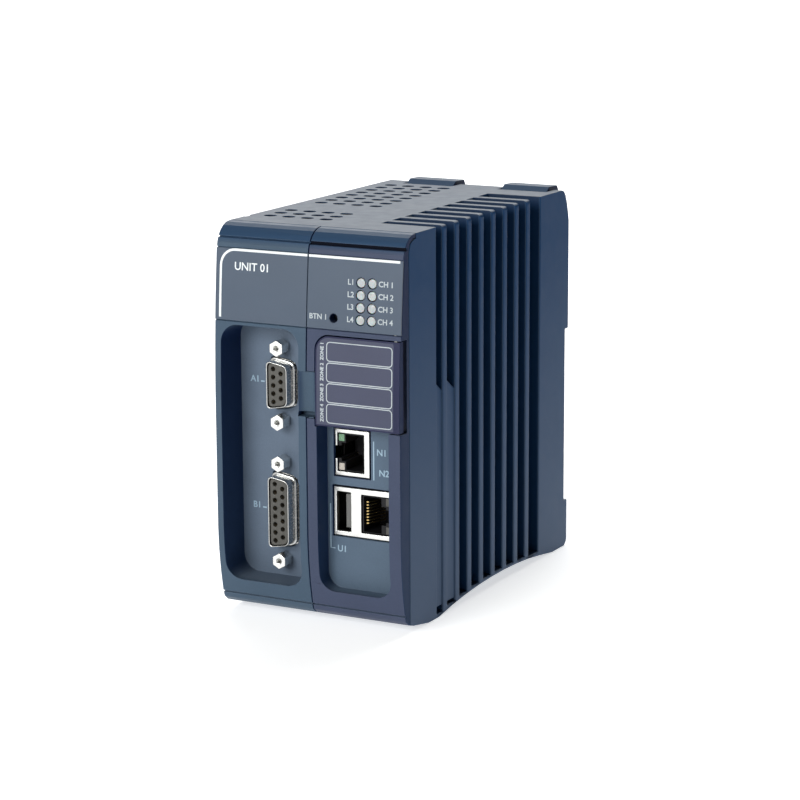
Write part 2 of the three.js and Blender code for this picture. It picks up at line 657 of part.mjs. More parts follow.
function slideLever(slot) {
  const half = LEVER.width / 2;
  const bottom = slot.z[0] + 0.45;
  const stem = block([slot.x - half, slot.x + half], [LEVER.tip, LEVER.foot], [bottom, bottom + LEVER.height]);
  const ribs = [0.7, 1.6].map((rise) =>
    block([slot.x - half - 1, slot.x + half + 1], [LEVER.tip - 1, LEVER.tip + 0.4],
      [bottom + rise, bottom + rise + 0.4]));
  return cut(stem, ...ribs);
}

function switchBody(x, z) {
  return block([x - 3.2, x + 3.2], [9.5, 14.6], z);
}

function startButton() {
  const { x, z, radius } = SWITCHES.start;
  return joined(bar('y', radius, [x, z], [5.2, 8.6], 20), bar('y', 2.6, [x, z], [8.8 - 0.3, 9.2], 20));
}

// ---- boards and what they carry -----------------------------------------------------------
const MAIN_BOARD_X = [4.3, 5.9];
const IO_BOARD_X = [-9.5, -7.9];
const SPACER_SPOTS = [[40, 20], [40, 118], [104, 20], [104, 112]];

function board(x, depths, z) {
  const plate = block(x, depths, z);
  const holes = SPACER_SPOTS.map((spot) => bar('x', 1.6, spot, [x[0] - 1, x[1] + 1], 8));
  return cut(plate, ...holes);
}

const boardSpacer = (spot) => bar('x', 2.6, spot, [IO_BOARD_X[1] + GAP, MAIN_BOARD_X[0] - GAP], 6);

function coinCellHolder() {
  const cup = bar('x', 11.4, [70, 40], [-14.6, -9.8], 24);
  const room = bar('x', 10.4, [70, 40], [-16, -10.9], 24);
  return cut(cup, room);
}

function backplaneConnector() {
  const shroud = block([-2.4, 9.4], [117, 127.4], [24, 68]);
  const slot = block([0.4, 6.6], [120, 130], [26.5, 65.5]);
  const blade = block([2.7, 4.3], [119, 126], [28, 64]);
  return joined(cut(shroud, slot), blade);
}

// ---- hooks that hold the module on its base -----------------------------------------------
function topHook([x0, x1]) {
  const outline = [
    [119.4, 126.2],
    [122.6, 126.2],
    [127.2, 128.0],
    [127.8, 124.6],
    [129.9, 124.6],
    [130.0, 130.9],
    [129.0, 132.4],
    [122.4, 132.6],
    [119.6, 130.8],
  ];
  const bore = bar('x', HOOK_PIVOT.radius + 0.25, [HOOK_PIVOT.depth, HOOK_PIVOT.z], [x0 - 1, x1 + 1], 16);
  return cut(prismX(outline, [x0, x1]), bore);
}

const hookPin = ([x0, x1]) =>
  bar('x', HOOK_PIVOT.radius, [HOOK_PIVOT.depth, HOOK_PIVOT.z], [x0 - 2.3, x1 + 2.3], 12);

// ---- assembly -----------------------------------------------------------------------------
const FINISHES = {
  cast: { color: 0x56657a, roughness: 0.62, metalness: 0.1 },
  bezel: { color: 0x5d6b7d, roughness: 0.55, metalness: 0 },
  door: { color: 0x59607a, roughness: 0.5, metalness: 0 },
  film: { color: 0x616f7c, roughness: 0.4, metalness: 0 },
  lens: { color: 0xd8dde2, roughness: 0.3, metalness: 0 },
  steel: { color: 0xc9c9c6, roughness: 0.3, metalness: 1 },
  black: { color: 0x16171a, roughness: 0.5, metalness: 0 },
  insulator: { color: 0x4b4a45, roughness: 0.6, metalness: 0 },
  board: { color: 0x1d5a3a, roughness: 0.6, metalness: 0 },
  chip: { color: 0x222326, roughness: 0.5, metalness: 0 },
  pad: { color: 0x9aa0a6, roughness: 0.9, metalness: 0 },
  white: { color: 0xe6e6e2, roughness: 0.5, metalness: 0 },
};

const module = new THREE.Group();

function add(name, solid, finish) {
  const mesh = new THREE.Mesh(toGeometry(solid), new THREE.MeshStandardMaterial(FINISHES[finish]));
  mesh.name = name;
  module.add(mesh);
}

add('housing', housing(), 'cast');
add('left_cover', leftCover(), 'cast');
COVER_SCREWS.forEach((spot, i) => add(`cover_screw_${i + 1}`, coverScrew(spot), 'steel'));

add('left_bezel', leftBezel(), 'bezel');
add('right_bezel', rightBezel(), 'bezel');
add('label_door', labelDoor(), 'door');
add('door_hinge_pin', doorHingePin(), 'steel');
add('left_film', film([LEFT, -BEZEL_SPLIT_GAP]), 'film');
add('right_film', rightFilm(), 'film');
add('light_pipes', lightPipes(), 'lens');
add('indicator_board', block([15.5, 30], [7.6, 9.0], [100.5, 119]), 'board');
add('reset_button', resetButton(), 'white');
add('reset_switch', block([6.9, 12.9], [8.9, 12.9], [100.5, 106.5]), 'black');

for (const port of SERIAL_PORTS) {
  add(`${port.name}_shell`, serialShell(port), 'steel');
  add(`${port.name}_insulator`, serialInsulator(port), 'insulator');
  screwSpots(port).forEach((spot, i) => {
    const place = i === 0 ? 'lower' : 'upper';
    add(`${port.name}_${place}_jackscrew`, jackscrew(spot), 'steel');
  });
}

add('upper_jack_shield', upperJackShield(), 'steel');
add('upper_jack_insert', upperJackInsert(), 'black');
add('combo_jack_shield', comboJackShield(), 'steel');
add('lower_jack_insert', lowerJackInsert(), 'black');
add('usb_insert', usbInsert(), 'black');

add('run_stop_lever', slideLever(SWITCHES.runStop), 'white');
add('run_stop_switch', switchBody(SWITCHES.runStop.x, [82.5, 92]), 'black');
add('card_lever', slideLever(SWITCHES.card), 'white');
add('card_switch', switchBody(SWITCHES.card.x, [82.5, 92]), 'black');
add('start_button', startButton(), 'white');
add('start_switch', block([19.2, 25.8], [10.3, 14.6], [72.2, 78.8]), 'black');
add('switch_board', block([6.6, 30.5], [15.0, 16.4], [69, 97]), 'board');

add('main_board', board(MAIN_BOARD_X, [17, 112], [10, 124]), 'board');
add('io_board', board(IO_BOARD_X, [21, 112], [12, 124]), 'board');
SPACER_SPOTS.forEach((spot, i) => add(`board_spacer_${i + 1}`, boardSpacer(spot), 'steel'));
add('processor', block([6.2, 9.4], [52, 80], [62, 90]), 'chip');
add('thermal_pad', block([9.7, 11.9], [54, 78], [64, 88]), 'pad');
add('storage_card', block([7.2, 8.4], [86, 108], [60, 90]), 'board');
add('coin_cell_holder', coinCellHolder(), 'black');
add('coin_cell', bar('x', 10.0, [70, 40], [-14.4, -11.2], 24), 'steel');
add('bulk_capacitor_1', bar('x', 5.0, [92, 100], [-22, -9.8], 16), 'black');
add('bulk_capacitor_2', bar('x', 5.0, [92, 86], [-22, -9.8], 16), 'black');
add('backplane_connector', backplaneConnector(), 'black');

for (const [side, x] of Object.entries(HOOKS)) {
  add(`top_hook_${side}`, topHook(x), 'bezel');
  add(`hook_pin_${side}`, hookPin(x), 'steel');
}

export default module;
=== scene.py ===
import json
import math

import bmesh
import bpy
from mathutils import Matrix, Vector

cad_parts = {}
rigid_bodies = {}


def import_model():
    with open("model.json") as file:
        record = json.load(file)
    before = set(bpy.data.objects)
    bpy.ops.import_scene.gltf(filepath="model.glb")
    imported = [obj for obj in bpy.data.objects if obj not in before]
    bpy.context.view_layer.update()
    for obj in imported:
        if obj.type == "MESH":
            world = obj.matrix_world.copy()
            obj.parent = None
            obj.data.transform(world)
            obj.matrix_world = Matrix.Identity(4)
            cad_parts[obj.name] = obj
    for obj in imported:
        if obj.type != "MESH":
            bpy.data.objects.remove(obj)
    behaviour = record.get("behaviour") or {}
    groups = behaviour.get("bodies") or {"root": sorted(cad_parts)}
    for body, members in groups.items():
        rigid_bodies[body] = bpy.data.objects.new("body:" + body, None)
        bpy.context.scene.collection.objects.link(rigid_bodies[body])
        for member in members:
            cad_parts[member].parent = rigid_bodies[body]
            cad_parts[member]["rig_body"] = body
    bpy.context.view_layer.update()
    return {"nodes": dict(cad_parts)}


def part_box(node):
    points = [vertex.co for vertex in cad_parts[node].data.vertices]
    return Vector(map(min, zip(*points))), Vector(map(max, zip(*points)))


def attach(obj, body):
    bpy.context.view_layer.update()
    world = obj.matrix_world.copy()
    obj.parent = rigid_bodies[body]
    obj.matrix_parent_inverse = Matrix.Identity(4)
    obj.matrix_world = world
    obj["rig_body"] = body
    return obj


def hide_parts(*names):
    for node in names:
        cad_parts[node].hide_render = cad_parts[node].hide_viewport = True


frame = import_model()
NODES = frame["nodes"]
MM = 0.001

# ---- places taken from the frame ------------------------------------------------------------
FRONT_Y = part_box("left_bezel")[0].y
CROWN_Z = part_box("left_film")[1].z + 1.5 * MM
BODY_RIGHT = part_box("right_bezel")[1].x
BODY_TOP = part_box("left_bezel")[1].z
FLAT_BOTTOM, FLAT_TOP = 31.6 * MM, 68.6 * MM
UPPER_RADIUS, LOWER_RADIUS = 560 * MM, 120 * MM
INK_HEIGHT = 0.04 * MM
SHEET_HEIGHT = 0.02 * MM


def front_y(z):
    """Y of the curved front surface at a height."""
    if z > FLAT_TOP:
        run, radius = z - FLAT_TOP, UPPER_RADIUS
    elif z < FLAT_BOTTOM:
        run, radius = FLAT_BOTTOM - z, LOWER_RADIUS
    else:
        return FRONT_Y
    return FRONT_Y + radius - math.sqrt(radius * radius - run * run)


def serial_floor_y(z):
    """Y of the flat floor of the serial port recess, the same at every height."""
    return FRONT_Y + 13 * MM


def port_floor_y(z):
    """Y of the flat floor of the network port recess, the same at every height."""
    return FRONT_Y + 7 * MM


# ---- camera, lights and floor ---------------------------------------------------------------
CAMERA_PLACE = Vector((0.4174, -0.7933, 0.2558))
CAMERA_YAW, CAMERA_PITCH, CAMERA_ROLL = -27.743, 12.114, -0.299
CAMERA_LENS = 119.06


def make_camera():
    yaw, pitch, roll = (math.radians(a) for a in (CAMERA_YAW, CAMERA_PITCH, CAMERA_ROLL))
    forward = Vector((math.sin(yaw) * math.cos(pitch), math.cos(yaw) * math.cos(pitch), -math.sin(pitch)))
    level = Vector((math.cos(yaw), -math.sin(yaw), 0))
    upright = level.cross(forward)
    right = level * math.cos(roll) + upright * math.sin(roll)
    up = upright * math.cos(roll) - level * math.sin(roll)
    camera = bpy.data.objects.new("camera", bpy.data.cameras.new("camera"))
    bpy.context.scene.collection.objects.link(camera)
    axes = Matrix((right, up, -forward)).transposed().to_4x4()
    camera.matrix_world = Matrix.Translation(CAMERA_PLACE) @ axes
    camera.data.sensor_width = 36
    camera.data.lens = CAMERA_LENS
    camera.data.clip_start = 0.01
    bpy.context.scene.camera = camera


def make_light(name, place, target, size, power, colour):
    data = bpy.data.lights.new(name, "AREA")
    data.shape = "RECTANGLE"
    data.size, data.size_y = size
    data.energy = power
    data.color = colour
    light = bpy.data.objects.new(name, data)
    bpy.context.scene.collection.objects.link(light)
    light.location = place
    light.rotation_mode = "QUATERNION"
    light.rotation_quaternion = (Vector(target) - Vector(place)).to_track_quat("-Z", "Y")


def make_studio():
    target = (0, 0, 0.06)
    make_light("overhead", (-0.3, 1.2, 1.5), target, (1.8, 1.2), 8.5, (0.96, 1.0, 0.99))
    make_light("key", (-0.45, -1.9, 0.8), target, (1.1, 0.9), 31, (1.0, 1.0, 0.98))
    make_light("backdrop", (-1.6, 3.6, 2.2), (-1.6, 3.4, 0), (5.0, 4.0), 150, (1.0, 1.0, 1.0))
    world = bpy.data.worlds.new("studio")
    world.use_nodes = True
    tree = world.node_tree
    # The surroundings are dim, and bright only behind the object.
    direction = split(tree, "ShaderNodeTexCoord", "Generated")
    behind = mapped(tree, direction["Y"], 0.2, 0.9, 0.16, 0.8)
    leftward = mapped(tree, direction["X"], -0.2, 0.3, 1.0, 0.25)
    background = tree.nodes["Background"]
    background.inputs["Color"].default_value = (0.92, 0.98, 1.0, 1)
    tree.links.new(product(tree, behind, leftward), background.inputs["Strength"])
    bpy.context.scene.world = world
    bpy.context.scene.view_settings.view_transform = "Standard"


def make_floor():
    mesh = bpy.data.meshes.new("floor")
    half = 8.0
    corners = [(-half, -half, 0), (half, -half, 0), (half, half, 0), (-half, half, 0)]
    mesh.from_pydata(corners, [], [(0, 1, 2, 3)])
    floor = bpy.data.objects.new("floor", mesh)
    bpy.context.scene.collection.objects.link(floor)
    material = bpy.data.materials.new("floor_white")
    material.use_nodes = True
    shader = material.node_tree.nodes["Principled BSDF"]
    shader.inputs["Base Color"].default_value = (0.93, 0.93, 0.93, 1)
    shader.inputs["Roughness"].default_value = 0.9
    shader.inputs["Specular IOR Level"].default_value = 0.0
    shader.inputs["Emission Color"].default_value = (1, 1, 1, 1)
    shader.inputs["Emission Strength"].default_value = 0.6
    mesh.materials.append(material)


# ---- shader nodes ---------------------------------------------------------------------------
def new_material(name):
    material = bpy.data.materials.new(name)
    material.use_nodes = True
    tree = material.node_tree
    return material, tree, tree.nodes["Principled BSDF"]


def node(tree, kind, **settings):
    """A new shader node, with its inputs and settings given by name."""
    made = tree.nodes.new(kind)
    for key, value in settings.items():
        if key in made.inputs:
            made.inputs[key].default_value = value
        else:
            setattr(made, key, value)
    return made


def split(tree, kind, output):
    """The X, Y and Z sockets of one output of a new node."""
    parts = node(tree, "ShaderNodeSeparateXYZ")
    tree.links.new(node(tree, kind).outputs[output], parts.inputs["Vector"])
    return parts.outputs


def place_of(tree):
    return split(tree, "ShaderNodeTexCoord", "Object")


def facing_of(tree):
    return split(tree, "ShaderNodeNewGeometry", "Normal")


def mapped(tree, source, low, high, first=0.0, last=1.0):
    """The source's span from low to high, stretched to run from first to last."""
    made = node(tree, "ShaderNodeMapRange")
    for socket, value in (("From Min", low), ("From Max", high), ("To Min", first), ("To Max", last)):
        made.inputs[socket].default_value = value
    tree.links.new(source, made.inputs["Value"])
    return made.outputs["Result"]


def compute(tree, operation, *values, clamp=False):
    """A math node on two values, each a socket or a number."""
    made = node(tree, "ShaderNodeMath", operation=operation, use_clamp=clamp)
    for socket, value in zip(made.inputs, values):
        if isinstance(value, (int, float)):
            socket.default_value = value
        else:
            tree.links.new(value, socket)
    return made.outputs["Value"]


def product(tree, first, *others):
    for other in others:
        first = compute(tree, "MULTIPLY", first, other)
    return first


def mixed(tree, factor, under, over, blend="MIX"):
    """The colour under, with the colour over laid on it: over is a socket or an RGB colour."""
    made = node(tree, "ShaderNodeMix", data_type="RGBA", blend_type=blend)
    tree.links.new(factor, made.inputs["Factor"])
    tree.links.new(under, made.inputs["A"])
    if isinstance(over, tuple):
        made.inputs["B"].default_value = (*over, 1)
    else:
        tree.links.new(over, made.inputs["B"])
    return made.outputs["Result"]


def noise(tree, scale, detail=2.0, stretch=(1, 1, 1)):
    """Object-space noise: scale is in cycles per metre."""
    place = node(tree, "ShaderNodeTexCoord")
    mapping = node(tree, "ShaderNodeMapping")
    mapping.inputs["Scale"].default_value = stretch
    texture = node(tree, "ShaderNodeTexNoise", Scale=scale, Detail=detail)
    tree.links.new(place.outputs["Object"], mapping.inputs["Vector"])
    tree.links.new(mapping.outputs["Vector"], texture.inputs["Vector"])
    return texture.outputs["Fac"]


def ramp(tree, source, stops):
    """A colour ramp over a value; stops are (position, colour)."""
    made = node(tree, "ShaderNodeValToRGB")
    elements = made.color_ramp.elements
    while len(elements) < len(stops):
        elements.new(0.5)
    for element, (position, colour) in zip(elements, stops):
        element.position = position
        element.color = (*colour, 1)
    tree.links.new(source, made.inputs["Fac"])
    return made.outputs["Color"]


def relief(tree, shader, height, strength, distance):
    """Fine bumps on a shader."""
    bump = node(tree, "ShaderNodeBump", Strength=strength, Distance=distance)
    tree.links.new(height, bump.inputs["Height"])
    tree.links.new(bump.outputs["Normal"], shader.inputs["Normal"])


# ---- masks ----------------------------------------------------------------------------------
# Painted light brightens the recess floors behind RECESS_Y, and the sills from SILL_START to SILL_END below
# SILL_HEIGHT.
RECESS_Y = FRONT_Y + 6.5 * MM
SILL_START, SILL_END, SILL_HEIGHT = FRONT_Y + 1.2 * MM, FRONT_Y + 4.5 * MM, 30 * MM
# Painted floor bounce lightens the sides' feet up to this height.
BOUNCE_HEIGHT = 115 * MM
# The painted shade of the top band blends in over this height above CROWN_Z.
CROWN_BLEND = 2 * MM
WEAR_RADIUS = 0.35 * MM


def edge_mask(tree):
    """White where the surface bends sharply, from the difference that rounding makes to its normal."""
    rounded = node(tree, "ShaderNodeBevel", Radius=WEAR_RADIUS)
    rounded.samples = 4
    plain = node(tree, "ShaderNodeNewGeometry")
    dot = node(tree, "ShaderNodeVectorMath", operation="DOT_PRODUCT")
    tree.links.new(rounded.outputs["Normal"], dot.inputs[0])
    tree.links.new(plain.outputs["Normal"], dot.inputs[1])
    bend = compute(tree, "SUBTRACT", 1.0, dot.outputs["Value"])
    return compute(tree, "MULTIPLY", bend, 5.0, clamp=True)


def recess_light_mask(tree):
    """White on the floors of the front recesses, and on the sills at their feet that run into the floors,
    where painted light brightens the colour.
    """
    place, facing = place_of(tree), facing_of(tree)
    deep = compute(tree, "GREATER_THAN", place["Y"], RECESS_Y)
    forward = compute(tree, "LESS_THAN", facing["Y"], -0.9)
    inward = mapped(tree, place["Y"], SILL_START, SILL_END)
    upward = mapped(tree, facing["Z"], 0.2, 0.7)
    low = compute(tree, "LESS_THAN", place["Z"], SILL_HEIGHT)
    return compute(tree, "MAXIMUM", product(tree, deep, forward), product(tree, inward, upward, low))


def groove_shade_mask(tree):
    """White on the walls between the cooling fins that look forward, where painted shade darkens the colour.
    """
    place, facing = place_of(tree), facing_of(tree)
    inside = compute(tree, "LESS_THAN", place["X"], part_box("housing")[1].x - 0.6 * MM)
    behind = compute(tree, "GREATER_THAN", place["Y"], FRONT_Y + 14 * MM)
    forward = compute(tree, "LESS_THAN", facing["Y"], -0.5)
    return product(tree, inside, behind, forward)


def height_mask(tree, low, high):
    """Black below the height low and white above the height high."""
    return mapped(tree, place_of(tree)["Z"], low, high)


def side_shading_mask(tree):
    """White on faces that look along X, either way, which take a painted shading colour and less specular."""
    return mapped(tree, compute(tree, "ABSOLUTE", facing_of(tree)["X"]), 0.35, 0.9)


# ---- materials ------------------------------------------------------------------------------
def textured(name, colour, roughness, grain=2600, bump=0.12, shift=0.06, wear=None, side=None, foot=None,
             gloss=None, floor=None, crown=None, groove_shade=None, **shader_inputs):
    """A moulded or coated surface: fine grain in bump, cloudy colour and roughness, and worn edges.

    The top, side and foot colours are painted shading for the top band, the sides and the sides' feet, the
    feet lit by painted floor bounce; gloss is the specular level of front and sides; the floor factor
    multiplies the colour of recess floors as painted light, and the groove factor that of the cooling grooves
    as painted shade.
    """
    material, tree, shader = new_material(name)
    dark = tuple(c * (1 - shift) for c in colour)
    light = tuple(min(1, c * (1 + shift)) for c in colour)
    base = ramp(tree, noise(tree, 60, 3), [(0.3, dark), (0.7, light)])
    speck = ramp(tree, noise(tree, grain, 1), [(0.35, (0.9,) * 3), (0.65, (1.0,) * 3)])
    specked = node(tree, "ShaderNodeMix", data_type="RGBA", blend_type="MULTIPLY")
    specked.inputs["Factor"].default_value = 0.6
    tree.links.new(base, specked.inputs["A"])
    tree.links.new(speck, specked.inputs["B"])
    base = specked.outputs["Result"]
    # Painted shade: above CROWN_Z the colour turns to the darker, bluer top colour.
    if crown:
        base = mixed(tree, height_mask(tree, CROWN_Z, CROWN_Z + CROWN_BLEND), base, crown)
    # Painted light: the recess floors and their sills are brightened.
    if floor:
        base = mixed(tree, recess_light_mask(tree), base, floor, "MULTIPLY")
    # Painted shade: the walls that look forward inside the cooling grooves are darkened.
    if groove_shade:
        base = mixed(tree, groove_shade_mask(tree), base, groove_shade, "MULTIPLY")
    # Painted shading: faces along X take their own side colour and less specular, and their feet are
    # lightened by painted floor bounce.
    if side:
        mask = side_shading_mask(tree)
        shader.inputs["Specular IOR Level"].default_value = sum(gloss) / 2
        tree.links.new(mapped(tree, mask, 0, 1, *gloss), shader.inputs["Specular IOR Level"])
        if foot:
            side = ramp(tree, height_mask(tree, 0, BOUNCE_HEIGHT), [(0.0, foot), (1.0, side)])
        base = mixed(tree, mask, base, side)
    if wear:
        base = mixed(tree, product(tree, edge_mask(tree), noise(tree, 500, 2)), base, wear)
    tree.links.new(base, shader.inputs["Base Color"])
    spread = mapped(tree, noise(tree, 240, 2), 0, 1, roughness - 0.07, roughness + 0.07)
    tree.links.new(spread, shader.inputs["Roughness"])
    relief(tree, shader, noise(tree, grain, 2), bump, 0.05 * MM)
    for key, value in shader_inputs.items():
        shader.inputs[key.replace("_", " ")].default_value = value
    return material


def metal(name, colour, roughness, shaded_behind=None):
    """Plated metal with faint drawn lines and smudges, painted near black as shade behind a given Y if one is
    named.
    """
    material, tree, shader = new_material(name)
    drawn = (1, 1, 12)
    shader.inputs["Metallic"].default_value = 1.0
    dark = tuple(c * 0.86 for c in colour)
    tone = ramp(tree, noise(tree, 300, 3), [(0.3, dark), (0.7, colour)])
    if shaded_behind:
        fade = mapped(tree, place_of(tree)["Y"], shaded_behind, shaded_behind + 1.5 * MM)
        tone = mixed(tree, fade, tone, (0.01, 0.01, 0.01))
    tree.links.new(tone, shader.inputs["Base Color"])
    spread = mapped(tree, noise(tree, 700, 2, drawn), 0, 1, roughness * 0.8, roughness * 1.2)
    tree.links.new(spread, shader.inputs["Roughness"])
    relief(tree, shader, noise(tree, 1500, 2, drawn), 0.015, 0.02 * MM)
    return material


def circuit_board(name):
    """Green solder mask with lighter copper tracks under it."""
    material, tree, shader = new_material(name)
    mask, track = (0.012, 0.085, 0.04), (0.03, 0.17, 0.075)
    along = (1, 0.12, 1)
    tracks = ramp(tree, noise(tree, 420, 0, along), [(0.48, mask), (0.52, track)])
    tree.links.new(tracks, shader.inputs["Base Color"])
    shader.inputs["Roughness"].default_value = 0.35
    relief(tree, shader, noise(tree, 420, 0, along), 0.2, 0.05 * MM)
    return material


# Painted shading of the bezels: shaded colours for the sides and the top band, a lighter foot from painted
# floor bounce, and the specular of front and sides.
BEZEL = {"side": (0.005, 0.016, 0.062), "foot": (0.022, 0.046, 0.104), "crown": (0.030, 0.066, 0.130),
         "gloss": (0.16, 0.05)}

# Painted light and shade: the cast paint has shaded sides, floor bounce at their feet and shade in the
# cooling grooves; the bezels have shaded sides and top band and brightened recess floors; the door has shaded
# sides.
MATERIALS = {
    "cast": textured("cast_paint", (0.010, 0.038, 0.090), 0.42, 1700, 0.25, 0.06, wear=(0.06, 0.12, 0.20),
                     side=(0.0112, 0.0480, 0.1290), foot=(0.090, 0.130, 0.205), gloss=(0.28, 0.04),
                     groove_shade=(0.35, 0.6, 0.75)),
    "bezel": textured("left_plastic", (0.055, 0.089, 0.133), 0.42, 2600, 0.14, 0.05, wear=(0.09, 0.13, 0.19),
                      floor=(2.2, 1.8, 1.65), **BEZEL),
    "bezel_right": textured("right_plastic", (0.050, 0.064, 0.112), 0.42, 2600, 0.14, 0.05,
                            wear=(0.09, 0.12, 0.18), floor=(1.85, 2.1, 1.7), **BEZEL),
    "door": textured("door_plastic", (0.008, 0.011, 0.050), 0.4, 2600, 0.12, 0.05, wear=(0.05, 0.06, 0.14),
                     side=BEZEL["side"], gloss=(0.3, 0.05)),
    "sheet": textured("label_sheet", (0.035, 0.042, 0.088), 0.4, 4200, 0.05, 0.04),
    "film": textured("printed_film", (0.049, 0.074, 0.116), 0.4, 4200, 0.05, 0.03),
    "ink": textured("white_ink", (0.80, 0.84, 0.86), 0.5, 5200, 0.08, 0.05),
    "grey_ink": textured("grey_ink", (0.46, 0.51, 0.54), 0.5, 5200, 0.08, 0.08),
    "blue_ink": textured("pale_ink", (0.32, 0.45, 0.56), 0.5, 5200, 0.08, 0.05),
    "lens": textured("milky_lens", (0.42, 0.45, 0.46), 0.3, 1500, 0.03, 0.12, Subsurface_Weight=0.3,
                     Subsurface_Scale=0.001),
    "black": textured("black_plastic", (0.008, 0.008, 0.010), 0.5, 2200, 0.1, 0.2, Specular_IOR_Level=0.25),
    # Near-black painted shadow, laid inside the vents and along the upper seam.
    "shadow_black": textured("painted_shadow", (0.002, 0.003, 0.009), 0.8, 2200, 0.1, 0.2, Specular_IOR_Level=0.1),
    "insulator": textured("grey_insulator", (0.075, 0.072, 0.064), 0.55, 2200, 0.12, 0.12),
    "tongue": textured("grey_tongue", (0.14, 0.14, 0.135), 0.5, 2200, 0.1, 0.08),
    "white": textured("white_plastic", (0.75, 0.75, 0.72), 0.4, 2200, 0.08, 0.03),
    "green_lens": textured("green_lens", (0.22, 0.42, 0.25), 0.25, 1200, 0.03, 0.05,
                           Transmission_Weight=0.25),
    "amber_lens": textured("clear_lens", (0.62, 0.56, 0.50), 0.25, 1200, 0.03, 0.05,
                           Transmission_Weight=0.25),
    "nickel": metal("nickel_plate", (0.86, 0.86, 0.84), 0.24),
    "shell": metal("shell_plate", (0.56, 0.56, 0.55), 0.26),
    # Painted shade: the shield plate turns near black deeper in the sockets.
    "shield": metal("shield_plate", (0.86, 0.86, 0.84), 0.3, shaded_behind=FRONT_Y + 7.6 * MM),
    "zinc": metal("zinc_plate", (0.68, 0.68, 0.66), 0.34),
    "gold": metal("gold_contact", (0.83, 0.60, 0.24), 0.25),
    "board": circuit_board("solder_mask"),
    "chip": textured("epoxy_package", (0.02, 0.02, 0.022), 0.5, 1800, 0.1, 0.15),
    "pad": textured("gap_pad", (0.33, 0.36, 0.40), 0.85, 900, 0.3, 0.08),
    "sleeve": textured("can_sleeve", (0.02, 0.025, 0.05), 0.35, 1500, 0.05, 0.1),
}


# ---- making pieces --------------------------------------------------------------------------
def body_of(name):
    """The body that a CAD node rides on."""
    return NODES[name]["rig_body"]


def add_piece(obj, finish, body):
    """Links a new piece, gives it a finish and lets it ride on a body."""
    bpy.context.scene.collection.objects.link(obj)
    obj.data.materials.clear()
    obj.data.materials.append(MATERIALS[finish])
    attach(obj, body)
    return obj


def from_bmesh(name, bm, finish, body, smooth_angle=35):
    """A new piece from a bmesh, smooth except where it bends by more than the angle."""
    bmesh.ops.recalc_face_normals(bm, faces=bm.faces)
    mesh = bpy.data.meshes.new(name)
    bm.to_mesh(mesh)
    bm.free()
    for polygon in mesh.polygons:
        polygon.use_smooth = True
    mesh.set_sharp_from_angle(angle=math.radians(smooth_angle))
    return add_piece(bpy.data.objects.new(name, mesh), finish, body)


def add_bevel(obj, width, segments=2, angle=32, clamp=True):
    """Rounds the edges that bend by more than the angle."""
    bevel = obj.modifiers.new("edge_round", "BEVEL")
    bevel.width = width
    bevel.segments = segments
    bevel.limit_method = "ANGLE"
    bevel.angle_limit = math.radians(angle)
    bevel.use_clamp_overlap = clamp
    bevel.miter_outer = "MITER_ARC"
    bevel.harden_normals = False
    bevel.loop_slide = False
    normals = obj.modifiers.new("even_normals", "WEIGHTED_NORMAL")
    normals.keep_sharp = True


VENT_COLUMNS = [x * MM for x in (-27.3, -20.2, -13.1, -6.0)]
VENT_ROWS = [FRONT_Y + depth * MM for depth in (25.4, 32.4, 39.4, *(60 + 7.3 * i for i in range(8)))]
FIN_START, FIN_END = FRONT_Y + 25.9 * MM, FRONT_Y + 106 * MM
# Shares of the housing's rounding: most edges, slanted edges of fins, other edges of fins, fins over the top.
PLAIN_WEIGHT, SLOPE_WEIGHT, FIN_WEIGHT, FIN_TOP_WEIGHT = 0.18, 0.6, 0.45, 1.0


def weigh_fins(bm):
    """Rounds the outer edges of the fins more than the rest of the housing, and the vent rims not at all."""
    layer = bm.edges.layers.float.new("bevel_weight_edge")
    for edge in bm.edges:
        if len(edge.link_faces) != 2 or edge.calc_face_angle(0) < math.radians(32):
            continue
        ends = [vertex.co for vertex in edge.verts]
        on_left = all(abs(co.x + 15 * MM) < 16 * MM and co.z > BODY_TOP - MM for co in ends)
        if on_left and all(VENT_ROWS[0] - 3 * MM < co.y < 50 * MM for co in ends):
            continue
        edge[layer] = PLAIN_WEIGHT
        sloped = abs(ends[0].z - ends[1].z) > MM and abs(ends[0].y - ends[1].y) > MM
        if sloped and all(co.x > BODY_RIGHT - MM and 70 * MM < co.z < 82 * MM for co in ends):
            edge[layer] = SLOPE_WEIGHT
        elif all(co.x > BODY_RIGHT - 0.2 * MM and FIN_START - MM < co.y < FIN_END for co in ends):
            over_top = all(co.z > BODY_TOP - 0.2 * MM and co.y > FIN_START + MM for co in ends)
            edge[layer] = FIN_TOP_WEIGHT if over_top else FIN_WEIGHT


def on_top(face):
    """Whether a face is part of the housing's flat top."""
    return face.normal.z > 0.999 and abs(face.calc_center_median().z - BODY_TOP) < 0.1 * MM


def cut_top(bm, normal, distance, limit):
    """A straight cut across the flat top, through the faces that lie left of limit."""
    faces = [f for f in bm.faces if on_top(f) and max(v.co.x for v in f.verts) < limit]
    parts = set(faces)
    for face in faces:
        parts.update(face.edges)
        parts.update(face.verts)
    normal = Vector(normal)
    bmesh.ops.bisect_plane(bm, geom=list(parts), dist=0.001 * MM, plane_co=normal * distance,
                           plane_no=normal)


